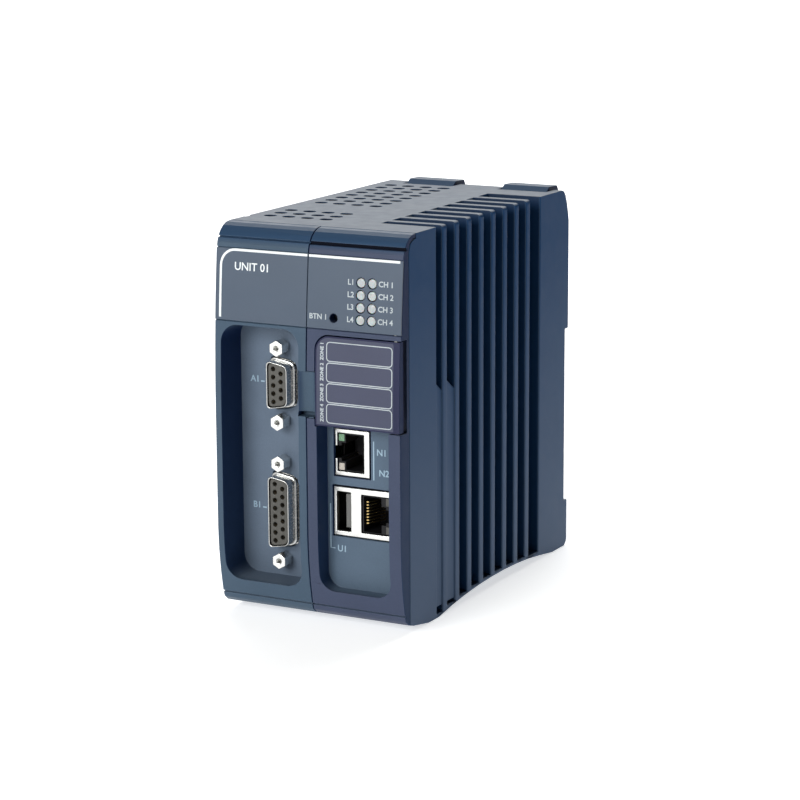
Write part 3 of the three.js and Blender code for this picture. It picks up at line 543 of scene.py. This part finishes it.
def even_top(bm):
    """Cuts the top into small cells that meet at the middles of the vents.

    Without them, rounding the edges folds long slivers between the vents.
    """
    fins = VENT_COLUMNS[-1] + 16 * MM
    whole_top = 1.0
    cut_top(bm, (1, 0, 0), fins, whole_top)
    for x in (VENT_COLUMNS[0] - 4.2 * MM, *VENT_COLUMNS[:-1], VENT_COLUMNS[-1] + 7 * MM):
        cut_top(bm, (1, 0, 0), x, fins + 0.1 * MM)
    for y in (VENT_ROWS[0] - 8 * MM, VENT_ROWS[0] - 3.6 * MM, *VENT_ROWS, VENT_ROWS[-1] + 7.5 * MM):
        cut_top(bm, (0, 1, 0), y, fins + 0.1 * MM)
    # Edges that cross a cell at a slant go, and the cell is filled afresh.
    slanted = []
    for edge in bm.edges:
        a, b = (vertex.co for vertex in edge.verts)
        if len(edge.link_faces) == 2 and all(on_top(f) for f in edge.link_faces):
            if abs(a.x - b.x) > 0.01 * MM and abs(a.y - b.y) > 0.01 * MM:
                slanted.append(edge)
    bmesh.ops.dissolve_edges(bm, edges=slanted, use_verts=False, use_face_split=False)


def refine(name, finish, bevel=0.25, segments=2, clamp=True, angle=32, weigh=None):
    """The moulded form of a CAD node: its triangles merged to faces and every sharp edge rounded.

    bevel is in mm, and weigh sets how much of it each edge of the housing takes.
    """
    bm = bmesh.new()
    bm.from_mesh(NODES[name].data)
    bmesh.ops.remove_doubles(bm, verts=bm.verts, dist=0.015 * MM)
    bmesh.ops.dissolve_limit(bm, angle_limit=math.radians(0.6), verts=bm.verts, edges=bm.edges)
    if weigh:
        bm.normal_update()
        even_top(bm)
    bmesh.ops.triangulate(bm, faces=bm.faces)
    if weigh:
        weigh(bm)
    piece = from_bmesh("fine_" + name, bm, finish, body_of(name), angle)
    if bevel:
        add_bevel(piece, bevel * MM, segments, angle, clamp)
        if weigh:
            piece.modifiers["edge_round"].limit_method = "WEIGHT"
    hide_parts(name)
    return piece


def bridge(bm, loops, closed=False):
    """Faces between loops that have the same number of vertices, capped unless the last meets the first."""
    following = loops[1:] + loops[:1] if closed else loops[1:]
    for a, b in zip(loops, following):
        for k in range(len(a)):
            after = (k + 1) % len(a)
            bm.faces.new((a[k], a[after], b[after], b[k]))
    if not closed:
        bm.faces.new(loops[0])
        bm.faces.new(reversed(loops[-1]))


def circle_into(bm, x, y, z, radius, sides):
    """New vertices round a circle that faces forward."""
    angles = [2 * math.pi * k / sides for k in range(sides)]
    return [bm.verts.new((x + radius * math.cos(a), y, z + radius * math.sin(a))) for a in angles]


def box_into(bm, low, high):
    """Adds a closed box to a bmesh."""
    centre = (Vector(low) + Vector(high)) / 2
    size = Vector(high) - Vector(low)
    matrix = Matrix.Translation(centre) @ Matrix.Diagonal((*size, 1))
    bmesh.ops.create_cube(bm, size=1, matrix=matrix)


# ---- printed lines and figures --------------------------------------------------------------
def ribbon_into(bm, path, width, surface, closed=False):
    """A thin raised line along (x, z) points, laid on a surface given as y of z."""
    count = len(path)
    rings = []
    for i, (x, z) in enumerate(path):
        before = path[i - 1] if closed or i > 0 else path[i]
        after = path[(i + 1) % count] if closed or i < count - 1 else path[i]
        along = Vector((after[0] - before[0], after[1] - before[1])).normalized()
        side = Vector((-along.y, along.x)) * width / 2
        ring = []
        for sign, height in ((1, 1), (-1, 1), (-1, -1), (1, -1)):
            px, pz = x + side.x * sign, z + side.y * sign
            ring.append(bm.verts.new((px, surface(pz) - INK_HEIGHT * height, pz)))
        rings.append(ring)
    bridge(bm, rings, closed)


def rounded_loop(x0, x1, z0, z1, radius, step=4 * MM):
    """Points round a rectangle with round corners, with extra points up its sides."""
    corners = [(x1 - radius, z1 - radius, 0), (x0 + radius, z1 - radius, 90),
               (x0 + radius, z0 + radius, 180), (x1 - radius, z0 + radius, 270)]
    points = []
    for cx, cz, start in corners:
        for k in range(5):
            angle = math.radians(start + 90 * k / 4)
            points.append((cx + radius * math.cos(angle), cz + radius * math.sin(angle)))
    full = []
    for point, after in zip(points, points[1:] + points[:1]):
        full += straight(*point, *after, step)[:-1]
    return full


def straight(x0, z0, x1, z1, step=4 * MM):
    """Points along a straight line, at most two steps apart."""
    parts = max(1, int(math.dist((x0, z0), (x1, z1)) / step))
    return [(x0 + (x1 - x0) * k / parts, z0 + (z1 - z0) * k / parts) for k in range(parts + 1)]


def figures(name, text, size, x, z, surface, body, finish="ink", turned=False, bold=0.0):
    """Raised printed characters, centred on a point and wrapped on to the surface."""
    curve = bpy.data.curves.new(name, "FONT")
    curve.body = text
    curve.size = size
    curve.extrude = INK_HEIGHT
    curve.offset = bold
    curve.resolution_u = 3
    curve.align_x = "CENTER"
    curve.align_y = "CENTER"
    source = bpy.data.objects.new(name + "_source", curve)
    bpy.context.scene.collection.objects.link(source)
    bpy.context.view_layer.update()
    mesh = bpy.data.meshes.new_from_object(source)
    bpy.data.objects.remove(source)
    for vertex in mesh.vertices:
        across, up, out = vertex.co
        if turned:
            across, up = -up, across
        height = z + up
        vertex.co = (x + across, surface(height) - out, height)
    mesh.name = name
    return add_piece(bpy.data.objects.new(name, mesh), finish, body)


# ---- printed marks --------------------------------------------------------------------------
FILM_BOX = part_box("left_film")
LED_COLUMNS = (19.6 * MM, 23.7 * MM)
LED_TOP, LED_PITCH, LED_RADIUS = 115.5 * MM, 4.0 * MM, 1.5 * MM
LABEL_BOLD = 0.05 * MM


def print_front_panel():
    """The white frame line, the title and the names of the button and the indicators."""
    line = 0.8 * MM
    top = FILM_BOX[1].z - line / 2
    left = FILM_BOX[0].x + 1.5 * MM + line / 2
    corner = 5.2 * MM
    bm = bmesh.new()
    path = straight(left, FILM_BOX[0].z + 0.9 * MM, left, top - corner)
    for k in range(1, 9):
        angle = math.pi - math.pi / 2 * k / 8
        path.append((left + corner + corner * math.cos(angle), top - corner + corner * math.sin(angle)))
    path += straight(left + corner, top, FILM_BOX[1].x - 0.15 * MM, top)[1:]
    ribbon_into(bm, path, line, front_y)
    from_bmesh("frame_line_left", bm, "ink", "module")
    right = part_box("right_film")
    bm = bmesh.new()
    ribbon_into(bm, straight(right[0].x + 0.15 * MM, top, right[1].x - 1.1 * MM, top), line, front_y)
    from_bmesh("frame_line_right", bm, "ink", "module")
    figures("title_figures", "UNIT 01", 3.7 * MM, -20.8 * MM, 117.6 * MM, front_y, "module", bold=0.04 * MM)
    figures("reset_label", "BTN 1", 2.45 * MM, 4.3 * MM, 103.6 * MM, front_y, "module", "grey_ink",
            bold=LABEL_BOLD)
    for row in range(4):
        z = LED_TOP - LED_PITCH * row
        figures(f"led_label_left_{row + 1}", f"L{row + 1}", 2.5 * MM, LED_COLUMNS[0] - 3.6 * MM, z,
                front_y, "module", "grey_ink", bold=LABEL_BOLD)
        figures(f"led_label_right_{row + 1}", f"CH {row + 1}", 2.5 * MM, LED_COLUMNS[1] + 5.0 * MM, z,
                front_y, "module", "grey_ink", bold=LABEL_BOLD)


def recess_label(name, text, x, z, surface):
    figures(name, text, 3.0 * MM, x, z, surface, "module", "blue_ink", bold=LABEL_BOLD)


def print_recess_labels():
    """The names of the ports in the recesses, with their ticks and leader lines."""
    for port, label in (("serial_port_9", "A"), ("serial_port_15", "B")):
        low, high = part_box(port + "_shell")
        z = (low.z + high.z) / 2
        x = low.x - 4.7 * MM
        recess_label(port + "_label", label + "1", x, z + 0.6 * MM, serial_floor_y)
        bm = bmesh.new()
        ribbon_into(bm, straight(x + 2.2 * MM, z, x + 3.6 * MM, z), 0.5 * MM, serial_floor_y)
        from_bmesh(port + "_tick", bm, "blue_ink", "module")
    upper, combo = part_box("upper_jack_shield"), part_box("combo_jack_shield")
    x = upper[1].x + 4.6 * MM
    recess_label("upper_jack_label", "N1", x, 59.2 * MM, port_floor_y)
    recess_label("combo_jack_label_right", "N2", x + 0.8 * MM, 52.4 * MM, port_floor_y)
    label_z = combo[0].z - 4.6 * MM
    recess_label("combo_jack_label_left", "U1", combo[0].x + 3.0 * MM, label_z, port_floor_y)
    bm = bmesh.new()
    rail = upper[1].x + 1.6 * MM
    ribbon_into(bm, straight(rail, upper[0].z - 0.4 * MM, rail, upper[1].z - 3 * MM), 0.4 * MM, port_floor_y)
    edge = combo[0].x - 1.3 * MM
    bracket = straight(edge, combo[1].z - 6 * MM, edge, label_z)
    bracket += [(edge + 1.6 * MM, label_z)]
    ribbon_into(bm, bracket, 0.4 * MM, port_floor_y)
    from_bmesh("port_leader_lines", bm, "blue_ink", "module")


FIELD_LEFT, FIELD_RIGHT = 7.6 * MM, 31.4 * MM
FIELD_BOTTOM, FIELD_TOP, FIELD_COUNT = 68.9 * MM, 95.9 * MM, 4


def print_door_label():
    """A dark sheet on the door, with four outlined fields and an upright mark beside each."""
    pitch = (FIELD_TOP - FIELD_BOTTOM) / FIELD_COUNT
    low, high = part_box("label_door")
    left, right = low.x + 0.5 * MM, FIELD_RIGHT + 0.5 * MM
    bottom, top = low.z + 0.5 * MM, high.z - 0.5 * MM
    corner = 4.4 * MM
    left_edge = []
    for turn in range(0, 91, 15):
        angle = math.radians(turn)
        left_edge.append((left + corner - corner * math.sin(angle), top - corner + corner * math.cos(angle)))
    left_edge += straight(left, left_edge[-1][1], left, bottom)[1:]
    bm = bmesh.new()
    rows = []
    for x, z in left_edge:
        outer, inner = front_y(z) - SHEET_HEIGHT, front_y(z) + SHEET_HEIGHT
        ends = ((x, outer, z), (right, outer, z), (right, inner, z), (x, inner, z))
        rows.append([bm.verts.new(end) for end in ends])
    bridge(bm, rows)
    from_bmesh("door_label_sheet", bm, "sheet", "label_door")
    bm = bmesh.new()
    gap = 0.28 * MM
    for row in range(FIELD_COUNT):
        z = FIELD_BOTTOM + pitch * row
        loop = rounded_loop(FIELD_LEFT, FIELD_RIGHT, z + gap, z + pitch - gap, 1.1 * MM)
        ribbon_into(bm, loop, 0.3 * MM, front_y, closed=True)
    from_bmesh("door_label_fields", bm, "grey_ink", "label_door")
    for row in range(FIELD_COUNT):
        z = FIELD_BOTTOM + pitch * (row + 0.5)
        figures(f"door_mark_{row + 1}", f"ZONE {FIELD_COUNT - row}", 1.65 * MM, FIELD_LEFT - 1.7 * MM, z,
                front_y, "label_door", "grey_ink", turned=True, bold=0.06 * MM)


# ---- indicators and controls ----------------------------------------------------------------
def lens_profile(bm, x, z, back):
    """A round light pipe with a softly domed face flush with the film."""
    face = front_y(z)
    rings = [(LED_RADIUS, back), (LED_RADIUS, face + 0.30 * MM), (LED_RADIUS * 0.94, face + 0.10 * MM),
             (LED_RADIUS * 0.78, face + 0.01 * MM), (LED_RADIUS * 0.4, face - 0.06 * MM)]
    bridge(bm, [circle_into(bm, x, y, z, radius, 28) for radius, y in rings])


def make_light_pipes():
    """The plate behind the film and the eight light pipes that stand on it."""
    low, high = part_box("light_pipes")
    plate_front = high.y - 1.2 * MM
    bm = bmesh.new()
    box_into(bm, (low.x, plate_front, low.z), high)
    plate = from_bmesh("light_pipe_plate", bm, "lens", "module")
    add_bevel(plate, 0.2 * MM)
    number = 0
    for x in LED_COLUMNS:
        for row in range(4):
            number += 1
            bm = bmesh.new()
            lens_profile(bm, x, LED_TOP - LED_PITCH * row, plate_front + 0.1 * MM)
            from_bmesh(f"light_pipe_{number}", bm, "lens", "module")
    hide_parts("light_pipes")


# ---- sockets --------------------------------------------------------------------------------
def contact_comb(name, x_range, z_middle, y_front, y_back, count=8, pitch=1.02 * MM):
    """Spring wires in a network socket, slanting from the floor of the socket into its room."""
    bm = bmesh.new()
    half = 0.2 * MM
    x_foot, x_end = x_range
    x_bend = x_foot + (x_end - x_foot) * 0.25
    stations = [(x_foot, y_front), (x_bend, y_front + 0.6 * MM), (x_end, y_back)]
    for k in range(count):
        z = z_middle + (k - (count - 1) / 2) * pitch
        rings = []
        for x, y in stations:
            rings.append([bm.verts.new((x + dx, y + dx * 0.3, z + dz))
                          for dx, dz in ((-half, -half), (half, -half), (half, half), (-half, half))])
        bridge(bm, rings)
    from_bmesh(name, bm, "gold", "module")


def socket_window(name, low, high, finish):
    """A small indicator window in the corner of a network socket."""
    bm = bmesh.new()
    box_into(bm, low, high)
    window = from_bmesh(name, bm, finish, "module")
    add_bevel(window, 0.18 * MM, 2)


def make_sockets():
    """The contacts and the indicator windows of the two network sockets."""
    upper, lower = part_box("upper_jack_insert"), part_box("lower_jack_insert")
    face = upper[0].y
    middle = (upper[0].z + upper[1].z) / 2
    contact_comb("upper_jack_contacts", (upper[1].x - 0.5 * MM, upper[1].x - 3.4 * MM), middle,
                 face + 3.0 * MM, face + 9.5 * MM)
    middle = (lower[0].z + lower[1].z) / 2
    contact_comb("lower_jack_contacts", (lower[0].x + 0.5 * MM, lower[0].x + 3.4 * MM), middle,
                 face + 2.0 * MM, face + 9.5 * MM)
    window = Vector((2.1 * MM, 0.9 * MM, 2.4 * MM))
    front = face - 0.12 * MM
    corner = Vector((upper[0].x + 0.15 * MM, front, upper[1].z - window.z - 0.1 * MM))
    socket_window("upper_jack_window_green", corner, corner + window, "green_lens")
    corner = Vector((upper[0].x + 0.15 * MM, front, upper[0].z + 0.1 * MM))
    socket_window("upper_jack_window_clear", corner, corner + window, "amber_lens")
    right = lower[1].x - 1.55 * MM
    short = Vector((1.4 * MM, 0.9 * MM, 2.6 * MM))
    corner = Vector((right, front, lower[1].z - short.z - 0.1 * MM))
    socket_window("lower_jack_window_top", corner, corner + short, "insulator")
    corner = Vector((right, front, lower[0].z + 0.1 * MM))
    socket_window("lower_jack_window_bottom", corner, corner + short, "insulator")


def make_usb_contacts():
    """Four flat contacts along the tongue of the USB socket."""
    low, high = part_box("usb_insert")
    bm = bmesh.new()
    tongue_face = low.x + 2.5 * MM
    for k in range(4):
        z = (low.z + high.z) / 2 + (k - 1.5) * 2.2 * MM
        box_into(bm, (tongue_face - 0.12 * MM, low.y + 1.0 * MM, z - 0.5 * MM),
                 (tongue_face + 0.15 * MM, low.y + 8.5 * MM, z + 0.5 * MM))
    from_bmesh("usb_contacts", bm, "gold", "module")


CONTACT_PITCH, CONTACT_ROWS, CONTACT_RADIUS = 2.77 * MM, 2.84 * MM, 0.595 * MM


def make_serial_contacts():
    """A gold contact in every hole of the serial ports."""
    turn = Matrix.Rotation(math.pi / 2, 4, "X")
    for port, wide in (("serial_port_9", 5), ("serial_port_15", 8)):
        low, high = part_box(port + "_insulator")
        x, z = (low.x + high.x) / 2, (low.z + high.z) / 2
        bm = bmesh.new()
        for side, count in ((-0.5, wide), (0.5, wide - 1)):
            for k in range(count):
                height = z + (k - (count - 1) / 2) * CONTACT_PITCH
                centre = Matrix.Translation((x + side * CONTACT_ROWS, low.y + 3.4 * MM, height))
                bmesh.ops.create_cone(bm, cap_ends=True, segments=12, radius1=CONTACT_RADIUS,
                                      radius2=CONTACT_RADIUS, depth=2.4 * MM, matrix=centre @ turn)
        from_bmesh(port + "_contacts", bm, "gold", "module")


THREAD_VALLEY, THREAD_CREST, THREAD_BACK = 1.0 * MM, 0.84 * MM, 1.08 * MM
THREAD_START, THREAD_STEP, THREAD_LOOPS = 0.35 * MM, 0.24 * MM, 14


def make_jackscrew_threads():
    """Ring threads inside the bore of every jackscrew."""
    sides = 16
    for port in ("serial_port_9", "serial_port_15"):
        for spot in ("lower", "upper"):
            low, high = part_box(f"{port}_{spot}_jackscrew")
            x, z = (low.x + high.x) / 2, (low.z + high.z) / 2
            bm = bmesh.new()
            depths = [low.y + THREAD_START + THREAD_STEP * ring for ring in range(THREAD_LOOPS)]
            loops = []
            for ring, y in enumerate(depths):
                radius = THREAD_VALLEY if ring % 2 else THREAD_CREST
                loops.append(circle_into(bm, x, y, z, radius, sides))
            for y in (depths[-1], depths[0]):
                loops.append(circle_into(bm, x, y, z, THREAD_BACK, sides))
            bridge(bm, loops, closed=True)
            from_bmesh(f"{port}_{spot}_thread", bm, "zinc", "module")


VENT_LENGTH, VENT_WIDTH = 4.6 * MM, 3.6 * MM
SHADOW_GAP, SHADOW_INSIDE = 0.02 * MM, 0.3 * MM


def make_vent_shadows():
    """A thin near-black sleeve of painted shadow inside every vent."""
    bm = bmesh.new()
    top, bottom = BODY_TOP - 0.3 * MM, BODY_TOP - 2.1 * MM
    section = ((top, SHADOW_GAP), (bottom, SHADOW_GAP), (bottom, SHADOW_INSIDE), (top, SHADOW_INSIDE))
    reach = (VENT_LENGTH - VENT_WIDTH) / 2
    angles = [2 * math.pi * (k + 0.5) / 16 for k in range(16)]
    for x in VENT_COLUMNS:
        for y in VENT_ROWS:
            loops = []
            for z, inset in section:
                radius = VENT_WIDTH / 2 - inset
                loop = []
                for angle in angles:
                    shift = reach if math.cos(angle) > 0 else -reach
                    loop.append(bm.verts.new((x + shift + radius * math.cos(angle),
                                              y + radius * math.sin(angle), z)))
                loops.append(loop)
            bridge(bm, loops, closed=True)
    from_bmesh("vent_shadows", bm, "shadow_black", "module")


SEAM_BOTTOM, SEAM_TOP = 126.36 * MM, 127.44 * MM


def make_seam_shadow():
    """A near-black strip of painted shadow along the seam over the right film."""
    low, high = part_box("right_film")
    bm = bmesh.new()
    box_into(bm, (low.x + 0.1 * MM, FRONT_Y + 4.3 * MM, SEAM_BOTTOM),
             (high.x - 0.3 * MM, FRONT_Y + 5.3 * MM, SEAM_TOP))
    from_bmesh("upper_seam_shadow", bm, "shadow_black", "module")


# ---- every CAD node and its finish ----------------------------------------------------------
# Each row holds the settings of refine: finish, bevel, segments, clamp, angle and weigh.
REFINED = {
    "housing": ("cast", 1.4, 3, False, 32, weigh_fins),
    "left_cover": ("cast", 0.2, 2, False),
    "left_bezel": ("bezel", 0.2, 2, False),
    "right_bezel": ("bezel_right", 0.2, 2, False),
    "label_door": ("door", 0.3, 3),
    "left_film": ("film", 0.06, 1),
    "right_film": ("film", 0.06, 1),
    "top_hook_left": ("bezel", 0.4, 3),
    "top_hook_right": ("bezel", 0.4, 3),
    "door_hinge_pin": ("zinc", 0.12, 2),
    "hook_pin_left": ("zinc", 0.12, 2),
    "hook_pin_right": ("zinc", 0.12, 2),
    "upper_jack_shield": ("shield", 0.18, 2),
    "combo_jack_shield": ("shield", 0.18, 2),
    "upper_jack_insert": ("black", 0.12, 2),
    "lower_jack_insert": ("black", 0.12, 2),
    "usb_insert": ("tongue", 0.15, 2),
    "reset_button": ("black", 0.15, 2),
    "reset_switch": ("black", 0.25, 2),
    "run_stop_lever": ("white", 0.2, 2),
    "card_lever": ("white", 0.2, 2),
    "start_button": ("white", 0.25, 3),
    "run_stop_switch": ("black", 0.25, 2),
    "card_switch": ("black", 0.25, 2),
    "start_switch": ("black", 0.25, 2),
    "backplane_connector": ("black", 0.25, 2),
    "coin_cell_holder": ("black", 0.3, 2),
    "coin_cell": ("nickel", 0.3, 2),
    "processor": ("chip", 0.2, 2),
    "thermal_pad": ("pad", 0.3, 2),
    "storage_card": ("board", 0.1, 1),
    "bulk_capacitor_1": ("sleeve", 0.4, 3),
    "bulk_capacitor_2": ("sleeve", 0.4, 3),
    "indicator_board": ("board", 0.08, 1),
    "switch_board": ("board", 0.08, 1),
    "main_board": ("board", 0.08, 1),
    "io_board": ("board", 0.08, 1),
}
for port_name in ("serial_port_9", "serial_port_15"):
    REFINED[port_name + "_shell"] = ("shell", 0.2, 3)
    REFINED[port_name + "_insulator"] = ("insulator", 0.08, 1)
    REFINED[port_name + "_lower_jackscrew"] = ("nickel", 0.3, 3)
    REFINED[port_name + "_upper_jackscrew"] = ("nickel", 0.3, 3)
for number in range(1, 5):
    REFINED[f"cover_screw_{number}"] = ("zinc", 0.15, 2)
    REFINED[f"board_spacer_{number}"] = ("zinc", 0.2, 2)


make_camera()
make_studio()
make_floor()
for node_name, settings in REFINED.items():
    refine(node_name, *settings)
make_light_pipes()
make_sockets()
make_usb_contacts()
make_serial_contacts()
make_jackscrew_threads()
make_seam_shadow()
make_vent_shadows()
print_front_panel()
print_recess_labels()
print_door_label()

bpy.context.view_layer.update()
